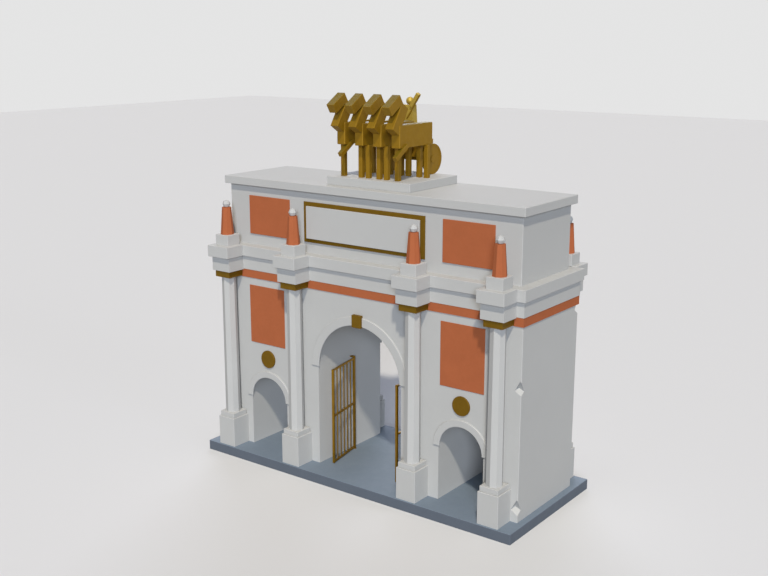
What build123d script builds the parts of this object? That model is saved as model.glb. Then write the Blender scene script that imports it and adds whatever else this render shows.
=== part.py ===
from build123d import *
from math import cos, radians
import os

# A three-bay triumphal arch: columns on pedestals, statues, attic and quadriga.
# Millimetres. X runs along the front, -Y is the front, Z is up.
# The origin is the centre of the underside of the stylobate.

# Stylobate
stylobate_width = 23940
stylobate_depth = 9620
stylobate_height = 640
stylobate_chamfer = 20

# Wall
body_width = 23060
body_depth = 6550
wall_height = 11664
wall_chamfer = 25
block_chamfer = 20

# Openings
central_opening_width = 6520
central_springing = 6640
side_opening_width = 3130
side_springing = 3460
outer_pier_width = 2355

# Archivolts and keystones
central_archivolt_width = 580
side_archivolt_width = 450
archivolt_overhang = 80
archivolt_projection = 95
archivolt_chamfer = 30
keystone_width = 690
keystone_height = 790
keystone_drop = 72
keystone_projection = 260
keystone_chamfer = 15

# Column order
inner_column_x = 4610
outer_column_inset = 1170
column_offset = 700
pedestal_width = 1390
pedestal_projection = 1405
pedestal_height = 1985
plinth_width = 1230
plinth_height = 335
shaft_bottom_radius = 500
shaft_top_radius = 465
capital_width = 1234
capital_projection = 1290
capital_height = 432
capital_rise = 59
column_sides = 8

# Frieze, entablature and main cornice
frieze_height = 540
frieze_projection = 50
entablature_height = 910
entablature_projection = 75
break_height = 943
break_width = 1526
break_projection = 1403
cornice_height = 711
cornice_side_projection = 215
cornice_front_projection = 265
cornice_break_height = 753
cornice_break_width = 1786
cornice_break_projection = 1682

# Attic
attic_width = 22130
attic_depth = 5590
attic_height = 3912
attic_cornice_height = 510
attic_cornice_side_projection = 278
attic_cornice_front_projection = 295

# Panels, medallions and the attic tablet
lower_panel_width = 3035
lower_panel_height = 3914
lower_panel_bottom = 7265
attic_panel_width = 3480
attic_panel_height = 2530
attic_panel_bottom = 715
panel_projection = 40
attic_panel_projection = 88
panel_chamfer = 15
medallion_radius = 600
medallion_projection = 95
medallion_rise = 6260
tablet_frame_width = 9254
tablet_frame_height = 2565
tablet_frame_bottom = 710
tablet_frame_projection = 112
tablet_border = 257
tablet_side_border = 300
tablet_projection = 138

# Statues over the columns
statue_block_width = 1100
statue_block_height = 688
robe_height = 1790
robe_bottom_radius = 435
robe_top_radius = 300
statue_head_radius = 255
statue_head_rise = 215

# Chips knocked out of the right end's corners: front (-1) or rear (1), height and depth of the deepest point,
# and how far it lies in from the end
corner_chips = ((-1, 8075, 400, 90), (-1, 890, 440, 90), (1, 11550, 500, 0))
chip_size = 1500
chip_lean = 42

# Quadriga plinth
quadriga_plinth_width = 6340
quadriga_plinth_depth = 5100
quadriga_plinth_y = 200
quadriga_plinth_height = 518

# Horses
horse_count = 4
horse_pitch = 1375
horse_width = 620
barrel_front = -2280
barrel_rear = 1140
barrel_bottom = 2000
barrel_top = 3365
barrel_chamfer = 40
head_width = 565
head_length = 1285
head_thickness = 592
head_pitch = 31.9
muzzle_top_y = -3295
muzzle_top_z = 4448
neck_length = 1780
neck_thickness = 725
neck_lean = 57.4
neck_foot_y = -2933
neck_foot_z = 3181
leg_size = 290
leg_spacing = 550
foreleg_y = -1640
hindleg_y = 600
raised_leg_length = 1350
raised_leg_pitch = 33
raised_leg_root_y = -1560
raised_leg_root_z = 2150
tail_length = 1150
tail_thickness = 200
tail_angle = -70
horse_chamfer = 15
raised_forelegs = (0, 3)

# Chariot and charioteer
wheel_radius = 955
wheel_thickness = 200
wheel_y = 2280
wheel_x = 1550
hub_radius = 230
hub_projection = 20
rim_width = 130
web_recess = 15
axle_size = 300
chariot_width = 2700
chariot_front = 1450
chariot_rear = 2700
chariot_floor_thickness = 160
chariot_wall_height = 900
chariot_wall = 120
robe_width = 909
robe_depth = 629
torso_height = 2990
torso_taper = 2
charioteer_x = -90
charioteer_y = 2200
charioteer_head_radius = 250
arm_size = 240
arm_x = 470
arm_length = 1000
spear_radius = 45
spear_length = 1750
spear_tilt = 34
arm_y = 1945
arm_rise = 300
spear_x = 355
spear_drop = 114
head_sink = 0.06

# Gates in the central passage
gate_bottom_gap = 60
gate_height = 6375
gate_axis_x = 3000
gate_axis_y = 30
gate_leaf_width = 2980
gate_left_open_angle = 79
gate_right_open_angle = 83
stile_width = 140
stile_thickness = 140
rail_height = 120
rail_thickness = 90
gate_bar_radius = 40
gate_bar_count = 5
pin_radius = 40
pin_clearance = 0.05
seat_clearance = 0.3
top_pin_length = 100
collar_height = 70
collar_gap = 20
collar_radius = 100
shoe_radius = 130
shoe_height = 45
shoe_floor = 12

# Heights above the ground
floor_z = stylobate_height
wall_top_z = floor_z + wall_height
frieze_top_z = wall_top_z + frieze_height
capital_bottom_z = wall_top_z + capital_rise
capital_top_z = capital_bottom_z + capital_height
break_top_z = capital_top_z + break_height
cornice_break_top_z = break_top_z + cornice_break_height
entablature_top_z = frieze_top_z + entablature_height
cornice_top_z = entablature_top_z + cornice_height
attic_top_z = cornice_top_z + attic_height
roof_z = attic_top_z + attic_cornice_height
quadriga_z = roof_z + quadriga_plinth_height
central_spring_z = floor_z + central_springing
side_spring_z = floor_z + side_springing
pedestal_top_z = floor_z + pedestal_height
plinth_top_z = pedestal_top_z + plinth_height
statue_block_top_z = cornice_break_top_z + statue_block_height
robe_top_z = statue_block_top_z + robe_height

# Plan places shared by several pieces
side_opening_x = body_width / 2 - outer_pier_width - side_opening_width / 2
outer_column_x = body_width / 2 - outer_column_inset
column_xs = (-outer_column_x, -inner_column_x, inner_column_x, outer_column_x)
wall_face = body_depth / 2
attic_face = attic_depth / 2
frieze_face = wall_face + frieze_projection
entablature_face = wall_face + entablature_projection
cornice_face = wall_face + cornice_front_projection
column_y = wall_face + column_offset
side_inner_x = side_opening_x - side_opening_width / 2
side_outer_x = side_opening_x + side_opening_width / 2
central_half = central_opening_width / 2
sides = (-1, 1)

nodes = {}


def block(x0, x1, y0, y1, z0, z1):
    """A box between two corners."""
    size = Box(abs(x1 - x0), abs(y1 - y0), abs(z1 - z0))
    return Pos((x0 + x1) / 2, (y0 + y1) / 2, (z0 + z1) / 2) * size


def slab(width, depth, z0, z1, y=0):
    """A box centred on x = 0, from one height to another."""
    return block(-width / 2, width / 2, y - depth / 2, y + depth / 2, z0, z1)


def dressed(solid, size=block_chamfer):
    """A block with every edge chamfered."""
    return chamfer(solid.edges(), size)


def bedded(solid):
    """A block chamfered everywhere but round its underside."""
    edges = solid.edges().group_by(Axis.Z)
    return chamfer([e for group in edges[1:] for e in group], block_chamfer)


def tapered_prism(bottom_radius, top_radius, height):
    """A shaft with flat sides whose corners lie on the axes, its foot at z = 0."""
    foot = RegularPolygon(bottom_radius, column_sides).face()
    head = Pos(0, 0, height) * RegularPolygon(top_radius, column_sides).face()
    return loft([foot, head], ruled=True)


def both_faces(solid):
    """A piece of the front and the same piece of the back."""
    return [solid, Rot(0, 0, 180) * solid]


def from_wall(x, width, start, reach, z0, z1):
    """A block on the front that runs from a wall plane outwards."""
    return block(x - width / 2, x + width / 2, -reach, -start, z0, z1)


def barrel_y(radius, length):
    """A cylinder whose axis is Y."""
    return Rot(90, 0, 0) * Cylinder(radius, length)


def save(name, *solids):
    nodes[name] = solids


def make_stylobate():
    base = slab(stylobate_width, stylobate_depth, 0, stylobate_height)
    edges = base.edges().filter_by_position(Axis.Z, 1, stylobate_height)
    save("stylobate", chamfer(edges, stylobate_chamfer))


def make_pier(x0, x1, chamfered_xs):
    pier = block(x0, x1, -wall_face, wall_face, floor_z, wall_top_z)
    edges = [e for e in pier.edges().filter_by(Axis.Z) if round(e.center().X) in chamfered_xs]
    return chamfer(edges, wall_chamfer) if edges else pier


def chip(face, rise, depth, inset):
    """The piece knocked out of a corner of the wall: three flat breaks that meet inside it."""
    lump = Rot(0, -chip_lean, 45) * Box(chip_size, chip_size, chip_size)
    point = lump.vertices().sort_by(Axis.X)[-1]
    lump = Pos(depth - point.X, 0, -point.Z) * lump
    return Pos(body_width / 2 - inset, face * wall_face, floor_z + rise) * Rot(0, 0, 180 + face * 45) * lump


def make_piers():
    for side, word in zip(sides, ("left", "right")):
        corner = round(side * body_width / 2)
        outer = make_pier(side * side_outer_x, side * body_width / 2, (corner,))
        if side > 0:
            for chip_sizes in corner_chips:
                outer -= chip(*chip_sizes)
        save(f"outer_pier_{word}", outer)
        save(f"inner_pier_{word}", make_pier(side * central_half, side * side_inner_x, ()))


def make_vault(x, opening_width, spring_z):
    """The masonry over one passage, with its barrel vault cut through."""
    half = opening_width / 2
    mass = block(x - half, x + half, -wall_face, wall_face, spring_z, wall_top_z)
    return mass - Pos(x, 0, spring_z) * barrel_y(half, body_depth * 2)


def make_vaults():
    save("central_vault", make_vault(0, central_opening_width, central_spring_z))
    for side, word in zip(sides, ("left", "right")):
        save(f"side_vault_{word}", make_vault(side * side_opening_x, side_opening_width, side_spring_z))


def archivolt(x, opening_width, ring_width, spring_z):
    """A flat half ring on the wall round the mouth of an arch."""
    inner = opening_width / 2 - archivolt_overhang
    ring = barrel_y(inner + ring_width, archivolt_projection) - barrel_y(inner, archivolt_projection)
    ring &= block(-opening_width, opening_width, -wall_face, wall_face, 0, opening_width)
    front = ring.faces().sort_by(Axis.Y)[0]
    ring = chamfer(front.edges(), archivolt_chamfer)
    return Pos(x, -wall_face - archivolt_projection / 2, spring_z) * ring


def make_arch_trim():
    side_rings = []
    for side in sides:
        ring = archivolt(side * side_opening_x, side_opening_width, side_archivolt_width, side_spring_z)
        side_rings += both_faces(ring)
    save("side_archivolts", *side_rings)
    key_bottom = central_spring_z + central_half - archivolt_overhang - keystone_drop
    key = from_wall(0, keystone_width, wall_face, wall_face + keystone_projection,
                    key_bottom, key_bottom + keystone_height)
    ring = archivolt(0, central_opening_width, central_archivolt_width, central_spring_z) - key
    halves = [s for half in both_faces(ring) for s in half.solids()]
    save("central_archivolts", *halves)
    save("keystones", *both_faces(dressed(key, keystone_chamfer)))


def make_columns():
    pedestals, plinths, shafts, capitals = [], [], [], []
    for x in column_xs:
        pedestals += both_faces(bedded(from_wall(
            x, pedestal_width, wall_face, wall_face + pedestal_projection, floor_z, pedestal_top_z)))
        half = plinth_width / 2
        plinths += both_faces(dressed(block(
            x - half, x + half, -column_y - half, -column_y + half, pedestal_top_z, plinth_top_z)))
        shaft = tapered_prism(shaft_bottom_radius, shaft_top_radius, capital_bottom_z - plinth_top_z)
        shafts += both_faces(Pos(x, -column_y, plinth_top_z) * shaft)
        capitals += both_faces(from_wall(
            x, capital_width, frieze_face, wall_face + capital_projection, capital_bottom_z, capital_top_z))
    save("pedestals", *pedestals)
    save("column_plinths", *plinths)
    save("columns", *shafts)
    save("capital_blocks", *capitals)


def make_entablature():
    save("frieze_band", slab(body_width + 2 * frieze_projection, 2 * frieze_face, wall_top_z, frieze_top_z))
    save("entablature", slab(body_width + 2 * entablature_projection, 2 * entablature_face,
                             frieze_top_z, entablature_top_z))
    cornice = slab(body_width + 2 * cornice_side_projection, 2 * cornice_face,
                   entablature_top_z, cornice_top_z)
    save("main_cornice", dressed(cornice))
    breaks, cornice_breaks = [], []
    for x in column_xs:
        breaks += both_faces(from_wall(
            x, break_width, entablature_face, wall_face + break_projection, capital_top_z, break_top_z))
        cornice_breaks += both_faces(dressed(from_wall(
            x, cornice_break_width, cornice_face, wall_face + cornice_break_projection,
            break_top_z, cornice_break_top_z)))
    save("entablature_breaks", *breaks)
    save("cornice_breaks", *cornice_breaks)


def make_attic():
    attic = slab(attic_width, attic_depth, cornice_top_z, attic_top_z)
    save("attic_wall", chamfer(attic.edges().filter_by(Axis.Z), wall_chamfer))
    save("attic_cornice", dressed(slab(attic_width + 2 * attic_cornice_side_projection,
                                       attic_depth + 2 * attic_cornice_front_projection,
                                       attic_top_z, roof_z)))


def relief(x, width, face, projection, bottom, height):
    """A thin raised panel on a wall."""
    return dressed(from_wall(x, width, face, face + projection, bottom, bottom + height), panel_chamfer)


def make_panels():
    lower, upper, medallions = [], [], []
    for side in sides:
        x = side * side_opening_x
        lower += both_faces(relief(x, lower_panel_width, wall_face, panel_projection,
                                   floor_z + lower_panel_bottom, lower_panel_height))
        upper += both_faces(relief(x, attic_panel_width, attic_face, attic_panel_projection,
                                   cornice_top_z + attic_panel_bottom, attic_panel_height))
        disc = barrel_y(medallion_radius, medallion_projection)
        disc = chamfer(disc.faces().sort_by(Axis.Y)[0].edges(), panel_chamfer)
        medallions += both_faces(
            Pos(x, -wall_face - medallion_projection / 2, floor_z + medallion_rise) * disc)
    save("lower_panels", *lower)
    save("attic_panels", *upper)
    save("medallions", *medallions)
    frame_z = cornice_top_z + tablet_frame_bottom
    save("tablet_frames", *both_faces(relief(0, tablet_frame_width, attic_face, tablet_frame_projection,
                                             frame_z, tablet_frame_height)))
    save("tablets", *both_faces(relief(0, tablet_frame_width - 2 * tablet_side_border,
                                       attic_face + tablet_frame_projection, tablet_projection,
                                       frame_z + tablet_border, tablet_frame_height - 2 * tablet_border)))


def statue_head():
    """A ball cut in flat facets, in four bands, trimmed flat where it meets the robe."""
    waist = statue_head_radius * cos(radians(45))
    bands = ((statue_head_radius, waist, waist), (waist, statue_head_radius * 0.02, statue_head_radius - waist))
    half, z = None, 0
    for wide, narrow, height in bands:
        band = Pos(0, 0, z) * tapered_prism(wide, narrow, height)
        half = band if half is None else half + band
        z += height
    head = Pos(0, 0, statue_head_rise) * (half + Rot(180, 0, 0) * half)
    return head & Pos(0, 0, statue_head_radius * 2) * Box(*[statue_head_radius * 4] * 3)


def make_statues():
    blocks, robes, heads = [], [], []
    head = statue_head()
    for x in column_xs:
        half = statue_block_width / 2
        blocks += both_faces(bedded(block(
            x - half, x + half, -column_y - half, -column_y + half, cornice_break_top_z, statue_block_top_z)))
        robe = tapered_prism(robe_bottom_radius, robe_top_radius, robe_height)
        robes += both_faces(Pos(x, -column_y, statue_block_top_z) * robe)
        heads += both_faces(Pos(x, -column_y, robe_top_z) * head)
    save("statue_blocks", *blocks)
    save("statue_robes", *robes)
    save("statue_heads", *heads)


def limb(width, thickness, length, angle, foot_y, foot_z):
    """A bar that starts with its front lower edge at a point and rises backwards."""
    bar = dressed(block(-width / 2, width / 2, 0, length, -thickness, 0), horse_chamfer)
    return Pos(0, foot_y, foot_z) * Rot(angle, 0, 0) * bar


def make_horse(raised):
    """One horse, facing -Y with its hooves at z = 0."""
    half = horse_width / 2
    barrel = dressed(block(-half, half, barrel_front, barrel_rear, barrel_bottom, barrel_top), barrel_chamfer)
    head = limb(head_width, head_thickness, head_length, head_pitch, muzzle_top_y, muzzle_top_z)
    neck = limb(head_width, neck_thickness, neck_length, neck_lean, neck_foot_y, neck_foot_z)
    tail_root = barrel_top - barrel_chamfer
    tail = limb(tail_thickness, tail_thickness, tail_length, tail_angle,
                barrel_rear - tail_thickness / 2, tail_root)
    horse = barrel + neck + head + tail
    for x, y in ((sx * leg_spacing / 2, y) for sx in sides for y in (foreleg_y, hindleg_y)):
        lifted = raised and x > 0 and y == foreleg_y
        if lifted:
            leg = block(-leg_size / 2, leg_size / 2, -raised_leg_length, 0, -leg_size / 2, leg_size / 2)
            leg = Rot(raised_leg_pitch, 0, 0) * dressed(leg, horse_chamfer)
            horse += Pos(x, raised_leg_root_y, raised_leg_root_z) * leg
        else:
            leg = slab(leg_size, leg_size, 0, barrel_bottom + barrel_chamfer)
            horse += Pos(x, y, 0) * chamfer(leg.edges().filter_by(Axis.Z), horse_chamfer)
    return horse


def make_horses():
    for index in range(horse_count):
        x = (index - (horse_count - 1) / 2) * horse_pitch
        horse = make_horse(index in raised_forelegs)
        save(f"horse_{index + 1}", Pos(x, 0, quadriga_z) * horse)


def make_wheels():
    axle_z = quadriga_z + wheel_radius
    wheelset = Box(2 * wheel_x, axle_size, axle_size)
    for side in sides:
        wheel = Cylinder(wheel_radius, wheel_thickness)
        web = Cylinder(wheel_radius - rim_width, web_recess) - Cylinder(hub_radius, web_recess)
        wheel -= Pos(0, 0, (wheel_thickness - web_recess) / 2) * web
        wheel += Pos(0, 0, (wheel_thickness + hub_projection) / 2) * Cylinder(hub_radius, hub_projection)
        wheelset += Pos(side * wheel_x, 0, 0) * Rot(0, side * 90, 0) * wheel
    save("chariot_wheels", Pos(0, wheel_y, axle_z) * wheelset)
    return axle_z + axle_size / 2


def make_chariot():
    floor_bottom = make_wheels()
    floor_top = floor_bottom + chariot_floor_thickness
    half = chariot_width / 2
    outside = block(-half, half, chariot_front, chariot_rear, floor_bottom, floor_top + chariot_wall_height)
    inside = block(-half + chariot_wall, half - chariot_wall, chariot_front + chariot_wall,
                   chariot_rear + chariot_wall, floor_top, floor_top + 2 * chariot_wall_height)
    save("chariot_body", outside - inside)
    shoulder_z = floor_top + torso_height
    torso = Pos(charioteer_x, charioteer_y, floor_top) * extrude(
        Rectangle(robe_width, robe_depth), torso_height, taper=torso_taper)
    head_z = shoulder_z + charioteer_head_radius * (1 - head_sink)
    head = Pos(charioteer_x, charioteer_y, head_z) * Sphere(charioteer_head_radius)
    arm = Rot(0, spear_tilt, 0) * dressed(Box(arm_size, arm_size, arm_length), horse_chamfer)
    arm = Pos(arm_x, arm_y, shoulder_z + arm_rise) * arm
    spear = Rot(0, spear_tilt, 0) * Cylinder(spear_radius, spear_length)
    spear = Pos(spear_x, arm_y, shoulder_z - spear_drop) * spear
    save("charioteer", torso + head + arm - spear)
    save("spear", spear)


def gate_leaf(side):
    """Frame and bars of one leaf along +X, its hinge axis at the origin."""
    z0 = floor_z + gate_bottom_gap
    z1 = z0 + gate_height
    half = stile_thickness / 2
    frame = block(-stile_width / 2, stile_width / 2, -half, half, z0, z1)
    frame += block(gate_leaf_width - stile_width, gate_leaf_width, -half, half, z0, z1)
    rail_zs = (z0, (z0 + z1 - rail_height) / 2, z1 - rail_height)
    inner_x0 = stile_width / 2
    inner_x1 = gate_leaf_width - stile_width
    for z in rail_zs:
        frame += block(inner_x0, inner_x1, -rail_thickness / 2, rail_thickness / 2, z, z + rail_height)
    frame += Pos(0, 0, z1 + top_pin_length / 2) * Cylinder(pin_radius, top_pin_length)
    foot = gate_bottom_gap - shoe_floor - seat_clearance
    frame += Pos(0, 0, z0 - foot / 2) * Cylinder(pin_radius, foot)
    bars = []
    pitch = (inner_x1 - inner_x0) / (gate_bar_count + 1)
    for low, high in zip(rail_zs, rail_zs[1:]):
        length = high - low - rail_height
        for index in range(gate_bar_count):
            bar = Cylinder(gate_bar_radius, length)
            bars.append(Pos(inner_x0 + (index + 1) * pitch, 0, low + rail_height + length / 2) * bar)
    turn = -gate_left_open_angle if side < 0 else 180 + gate_right_open_angle
    place = Pos(side * gate_axis_x, gate_axis_y, 0) * Rot(0, 0, turn)
    return place * frame, [place * bar for bar in bars]


def gate_seats(side):
    """The collar bracket over a leaf's top pin and the shoe under its bottom pin."""
    bore = pin_radius + pin_clearance
    z0 = floor_z + gate_bottom_gap + gate_height + collar_gap
    x = side * gate_axis_x
    collar = Pos(x, gate_axis_y, z0 + collar_height / 2) * Cylinder(collar_radius, collar_height)
    collar += block(x, side * central_half, gate_axis_y - collar_radius, gate_axis_y + collar_radius,
                    z0, z0 + collar_height)
    collar -= Pos(x, gate_axis_y, z0) * Cylinder(bore, collar_height * 4)
    shoe = Pos(x, gate_axis_y, floor_z + shoe_height / 2) * Cylinder(shoe_radius, shoe_height)
    shoe -= Pos(x, gate_axis_y, floor_z + shoe_floor + shoe_height / 2) * Cylinder(bore, shoe_height)
    return collar, shoe


def make_gates():
    collars, shoes = [], []
    for side, word in zip(sides, ("left", "right")):
        frame, bars = gate_leaf(side)
        save(f"gate_{word}_frame", frame)
        save(f"gate_{word}_bars", *bars)
        collar, shoe = gate_seats(side)
        collars.append(collar)
        shoes.append(shoe)
    save("gate_collars", *collars)
    save("gate_shoes", *shoes)


make_stylobate()
make_piers()
make_vaults()
make_arch_trim()
make_columns()
make_entablature()
make_attic()
make_panels()
make_statues()
save("quadriga_plinth", dressed(slab(quadriga_plinth_width, quadriga_plinth_depth, roof_z, quadriga_z,
                                     quadriga_plinth_y)))
make_horses()
make_chariot()
make_gates()

os.makedirs("parts", exist_ok=True)
for name, solids in nodes.items():
    shape = solids[0] if len(solids) == 1 else Compound([s for piece in solids for s in piece.solids()])
    export_step(shape, f"parts/{name}.step")
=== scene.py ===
from math import radians

import bpy
import bmesh
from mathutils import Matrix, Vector


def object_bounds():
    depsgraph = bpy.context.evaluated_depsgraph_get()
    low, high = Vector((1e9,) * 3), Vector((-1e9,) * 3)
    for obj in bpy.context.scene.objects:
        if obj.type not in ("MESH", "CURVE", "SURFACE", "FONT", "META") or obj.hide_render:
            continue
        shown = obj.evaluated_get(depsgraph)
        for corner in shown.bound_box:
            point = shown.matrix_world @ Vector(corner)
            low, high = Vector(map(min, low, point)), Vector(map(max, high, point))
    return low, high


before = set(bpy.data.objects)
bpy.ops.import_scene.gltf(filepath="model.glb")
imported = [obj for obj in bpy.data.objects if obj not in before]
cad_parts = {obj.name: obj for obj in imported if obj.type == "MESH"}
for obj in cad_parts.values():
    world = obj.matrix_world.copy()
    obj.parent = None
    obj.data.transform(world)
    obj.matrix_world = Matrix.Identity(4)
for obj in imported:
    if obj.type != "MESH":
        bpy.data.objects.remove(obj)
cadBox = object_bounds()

print("stage: frame loaded,", len(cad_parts), "nodes")


def linear(hexColour):  # an sRGB colour as linear red, green and blue, with a full alpha
    channels = [int(hexColour[i:i + 2], 16) / 255 for i in (1, 3, 5)]
    straight = [c / 12.92 if c <= 0.04045 else ((c + 0.055) / 1.055) ** 2.4 for c in channels]
    return (*straight, 1.0)


def addNode(tree, kind, settings=None, links=None):  # a setting is for a property or an input
    node = tree.nodes.new(kind)
    for key, value in (settings or {}).items():
        if isinstance(key, str) and hasattr(node, key):
            setattr(node, key, value)
        else:
            node.inputs[key].default_value = value
    for key, source in (links or {}).items():
        tree.links.new(source, node.inputs[key])
    return node


def newMaterial(name):
    material = bpy.data.materials.new(name)
    material.use_nodes = True
    material.node_tree.nodes.clear()
    return material, material.node_tree


def noiseScale(sizeMm):  # how many noise cells go in a metre for a feature of this size
    return 1000 / sizeMm


cloudRange = {"From Min": 0.3, "From Max": 0.7}  # nearly all of what a noise node gives


def stain(tree, place, cloudLook):  # a soft cloud: size in mm, detail, least and most level
    sizeMm, detail, least, most = cloudLook
    cloud = addNode(tree, "ShaderNodeTexNoise", {"Scale": noiseScale(sizeMm), "Detail": detail},
                    {"Vector": place})
    spread = addNode(tree, "ShaderNodeMapRange", {**cloudRange, "To Min": least, "To Max": most},
                     {"Value": cloud.outputs[0]})
    return spread.outputs["Result"]


upwardRange = {"From Min": 0.45, "From Max": 0.95}  # the upward part of a normal, from side to top, where the painted top light and shade come in
mixPlaces = {"share": 0, "first": 6, "second": 7, "result": 2}  # its sockets for colours


def paintedTopShading(tree, sideColour, paintedTopColour):  # painted light and shade: one colour on the sides, another on what faces up
    facing = addNode(tree, "ShaderNodeNewGeometry").outputs["Normal"]
    upward = addNode(tree, "ShaderNodeSeparateXYZ", None, {0: facing}).outputs["Z"]
    share = addNode(tree, "ShaderNodeMapRange", upwardRange, {"Value": upward})
    both = addNode(tree, "ShaderNodeMix",
                   {"data_type": "RGBA", mixPlaces["first"]: sideColour,
                    mixPlaces["second"]: paintedTopColour},
                   {mixPlaces["share"]: share.outputs["Result"]})
    return both.outputs[mixPlaces["result"]]


grainRelief = {"detail": 4.0, "strength": 0.5}


def grain(tree, place, grainLook):  # bump from a fine grain: size and depth in mm
    sizeMm, depthMm = grainLook
    fine = addNode(tree, "ShaderNodeTexNoise",
                   {"Scale": noiseScale(sizeMm), "Detail": grainRelief["detail"]},
                   {"Vector": place})
    bump = addNode(tree, "ShaderNodeBump",
                   {"Strength": grainRelief["strength"], "Distance": depthMm / 1000},
                   {"Height": fine.outputs[0]})
    return bump.outputs["Normal"]


def surfaceMaterial(name, look):
    material, tree = newMaterial(name)
    place = addNode(tree, "ShaderNodeTexCoord").outputs["Object"]  # metres in the shared frame
    level = addNode(tree, "ShaderNodeMath", {"operation": "MULTIPLY"},
                    {0: stain(tree, place, look["clouds"]),
                     1: stain(tree, place, look["blotches"])})
    tinted = addNode(tree, "ShaderNodeVectorMath", {"operation": "SCALE"},
                     {"Scale": level.outputs[0]})
    colour = linear(look["colour"])
    # painted light and shade on what faces up, where a look gives a top colour
    if "paintedTopColour" in look:
        tree.links.new(paintedTopShading(tree, colour, linear(look["paintedTopColour"])), tinted.inputs[0])
    else:
        tinted.inputs[0].default_value = colour[:3]
    links = {
        "Base Color": tinted.outputs["Vector"],
        "Roughness": stain(tree, place, look["roughness"]),
        "Normal": grain(tree, place, look["grain"]),
    }
    if "leaf" in look:
        links["Metallic"] = stain(tree, place, look["leaf"])
    principled = addNode(tree, "ShaderNodeBsdfPrincipled", look["shader"], links)
    addNode(tree, "ShaderNodeOutputMaterial", None, {"Surface": principled.outputs[0]})
    return material


# Dressed limestone, rubbed smooth: matte and nearly even, with faint weather clouds
limestoneLook = {
    "colour": "#B9B9B7",
    "clouds": (2600, 2.0, 0.988, 1.010),  # left by rain
    "blotches": (420, 3.0, 0.992, 1.006),
    "roughness": (420, 2.0, 0.78, 0.90),
    "grain": (45, 2.0),  # rubbed grain is 1 to 2 mm across, drawn coarse so that it shows at all
    "shader": {"IOR": 1.55, "Specular IOR Level": 0.25},
}

# Terracotta-red stone, rubbed: denser colour, a little mottled as fired or iron-stained stone is
redStoneLook = {
    "colour": "#A95F3B",
    "clouds": (900, 3.0, 0.97, 1.03),
    "blotches": (130, 4.0, 0.975, 1.02),
    "roughness": (300, 2.0, 0.80, 0.92),
    "grain": (35, 1.5),
    "shader": {"IOR": 1.5, "Specular IOR Level": 0.2},
}

# Honed blue-grey stone slab, its upper face painted paler and bluer than its sides as painted
# light from above
plinthLook = {
    "colour": "#5A626D",
    # painted light: the upper face paler and bluer than the sides
    "paintedTopColour": "#74818F",
    "clouds": (1500, 3.0, 0.97, 1.03),
    "blotches": (160, 4.0, 0.975, 1.02),
    "roughness": (500, 3.0, 0.62, 0.74),
    "grain": (30, 1.0),
    "shader": {"IOR": 1.55, "Specular IOR Level": 0.3},
}

# Aged gilding on cast metal: warm and dull, bare leaf here and a film of dust and wax there
gilding = {
    "clouds": (650, 3.0, 0.95, 1.04),
    "blotches": (110, 4.0, 0.97, 1.02),
    "grain": (70, 3.0),
    "shader": {"Specular IOR Level": 0.25},
}
castLook = {
    **gilding,
    "colour": "#8F6C11",
    "paintedTopColour": "#685912",  # painted shade: what faces up is darker and greyer than the sides
    "roughness": (260, 3.0, 0.46, 0.60),
    "leaf": (420, 4.0, 0.22, 0.40),  # how bare the metal is
}
driverLook = {
    **gilding,
    "colour": "#B3973E",
    "roughness": (260, 3.0, 0.44, 0.58),
    "leaf": (420, 4.0, 0.30, 0.50),
}
trimLook = {
    **gilding,
    "colour": "#715406",
    "roughness": (260, 3.0, 0.49, 0.63),
    "leaf": (420, 4.0, 0.25, 0.45),
}
gateLook = {
    **gilding,
    "colour": "#94701C",
    "roughness": (260, 3.0, 0.39, 0.53),
    "leaf": (420, 4.0, 0.8, 1.0),
}

limestone = surfaceMaterial("rubbedLimestone", limestoneLook)
redStone = surfaceMaterial("terracottaRedStone", redStoneLook)
plinthStone = surfaceMaterial("honedBlueGreyStone", plinthLook)
castGilding = surfaceMaterial("agedGiltCasting", castLook)
driverGilding = surfaceMaterial("paleGiltCasting", driverLook)
trimGilding = surfaceMaterial("agedGiltTrim", trimLook)
gateGilding = surfaceMaterial("giltWroughtIron", gateLook)
print("stage: materials made")

finishes = {  # how the names of a material's nodes start
    limestone: ("outer_pier", "inner_pier", "central_vault", "side_vault", "attic_wall",
                "central_archivolts", "side_archivolts", "pedestals", "column_plinths", "columns",
                "entablature", "main_cornice", "cornice_breaks", "attic_cornice", "tablets",
                "statue_blocks", "statue_heads", "quadriga_plinth"),
    redStone: ("frieze_band", "lower_panels", "attic_panels", "statue_robes"),
    plinthStone: ("stylobate",),
    castGilding: ("horse_", "chariot_", "spear"),
    driverGilding: ("charioteer",),
    trimGilding: ("capital_blocks", "keystones", "medallions", "tablet_frames"),
    gateGilding: ("gate_",),
}
for nodeName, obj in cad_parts.items():
    chosen = [material for material, starts in finishes.items() if nodeName.startswith(starts)]
    if len(chosen) != 1:
        raise ValueError(f"{nodeName} has {len(chosen)} finishes")
    if not obj.material_slots:
        obj.data.materials.append(chosen[0])
    for materialSlot in obj.material_slots:
        materialSlot.material = chosen[0]
print("stage: every node has its finish")

floorLook = {
    "seen": "#DADADA",
    "bounce": "#A4A4A4",  # for light only, so that the pale floor doesn't wash out the walls
    "size": 600.0,
}


def seenRays(tree):  # 1 for what the camera and polished surfaces look at
    rays = addNode(tree, "ShaderNodeLightPath")
    return addNode(tree, "ShaderNodeMath", {"operation": "MAXIMUM"},
                   {0: rays.outputs["Is Camera Ray"], 1: rays.outputs["Is Glossy Ray"]}).outputs[0]


def seenOrLit(tree, lit, seen):  # one shader for the light it gives, another for what is seen
    return addNode(tree, "ShaderNodeMixShader", None,
                   {0: seenRays(tree), 1: lit.outputs[0], 2: seen.outputs[0]}).outputs[0]


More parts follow.
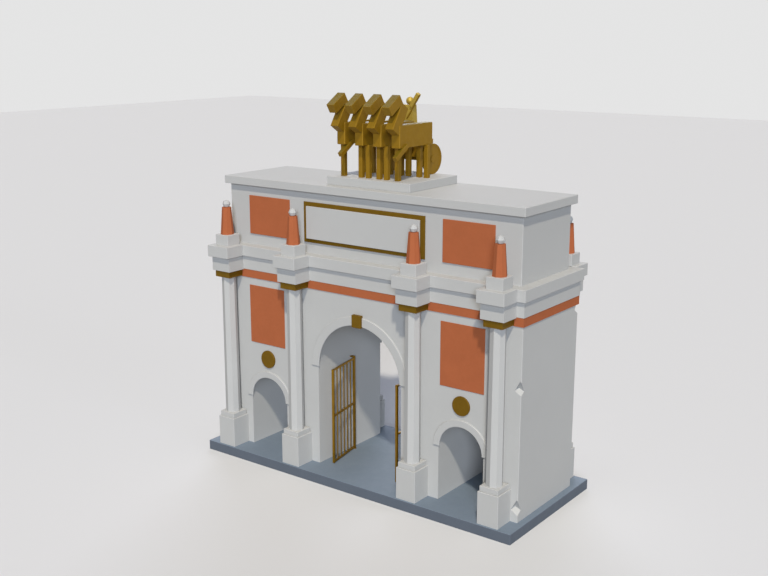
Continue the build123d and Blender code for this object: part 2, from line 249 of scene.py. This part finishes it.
def makeFloor():
    half = floorLook["size"] / 2
    mesh = bpy.data.meshes.new("studioFloor")
    build = bmesh.new()
    spots = ((-half, -half), (half, -half), (half, half), (-half, half))
    build.faces.new([build.verts.new((x, y, cadBox[0].z)) for x, y in spots])
    build.to_mesh(mesh)
    build.free()
    floor = bpy.data.objects.new("studioFloor", mesh)
    bpy.context.scene.collection.objects.link(floor)
    material, tree = newMaterial("paleStudioFloor")
    bounce = addNode(tree, "ShaderNodeBsdfDiffuse", {"Color": linear(floorLook["bounce"])})
    seen = addNode(tree, "ShaderNodeBsdfDiffuse", {"Color": linear(floorLook["seen"])})
    addNode(tree, "ShaderNodeOutputMaterial", None, {"Surface": seenOrLit(tree, bounce, seen)})
    mesh.materials.append(material)


lamps = {  # strength, softness, degrees round from the front towards +X, degrees up, colour
    "keySun": (2.28, 3.0, 35.0, 52.2, (1.0, 0.92, 0.78)),
    "frontFill": (1.74, 16.0, 36.0, 16.0, (0.905, 1.0, 1.155)),
    "sideFill": (0.14, 14.0, 82.0, 15.0, (0.9, 1.0, 1.2)),
    "backFill": (1.10, 40.0, 215.0, 25.0, (0.94, 1.0, 1.2)),
    "topSoft": (0.48, 40.0, 35.0, 86.0, (0.94, 1.0, 1.2)),
}


def makeLamps():
    for name, (strength, softness, azimuth, elevation, colour) in lamps.items():
        data = bpy.data.lights.new(name, "SUN")
        data.energy = strength
        data.angle = radians(softness)
        data.color = colour
        lamp = bpy.data.objects.new(name, data)
        lamp.rotation_euler = (radians(90 - elevation), 0, radians(azimuth))
        bpy.context.scene.collection.objects.link(lamp)


sky = {
    "lit": {"Color": (0.94, 0.98, 1.06, 1.0), "Strength": 0.02},
    "seen": {"Color": (1.0, 1.0, 1.0, 1.0), "Strength": 0.78},  # beyond the floor
}


def makeSky():
    world = bpy.data.worlds.new("studioSky")
    world.use_nodes = True
    tree = world.node_tree
    tree.nodes.clear()
    lit = addNode(tree, "ShaderNodeBackground", sky["lit"])
    seen = addNode(tree, "ShaderNodeBackground", sky["seen"])
    addNode(tree, "ShaderNodeOutputWorld", None, {"Surface": seenOrLit(tree, lit, seen)})
    bpy.context.scene.world = world


viewpoint = {
    "place": (39.254, -53.027, 28.133),
    "azimuth": 36.846,
    "elevation": 13.538,
    "lens": 50.0,
    "sensor": 36.0,
    "farthest": 2000.0,
}


def makeCamera():
    data = bpy.data.cameras.new("viewCamera")
    data.lens = viewpoint["lens"]
    data.sensor_width = viewpoint["sensor"]
    data.clip_end = viewpoint["farthest"]
    camera = bpy.data.objects.new("viewCamera", data)
    camera.location = Vector(viewpoint["place"])
    camera.rotation_euler = (radians(90 - viewpoint["elevation"]), 0,
                             radians(viewpoint["azimuth"]))
    bpy.context.scene.collection.objects.link(camera)
    bpy.context.scene.camera = camera


makeFloor()
makeLamps()
makeSky()
makeCamera()
bpy.context.scene.view_settings.view_transform = "Standard"
print("stage: floor, light and camera set")
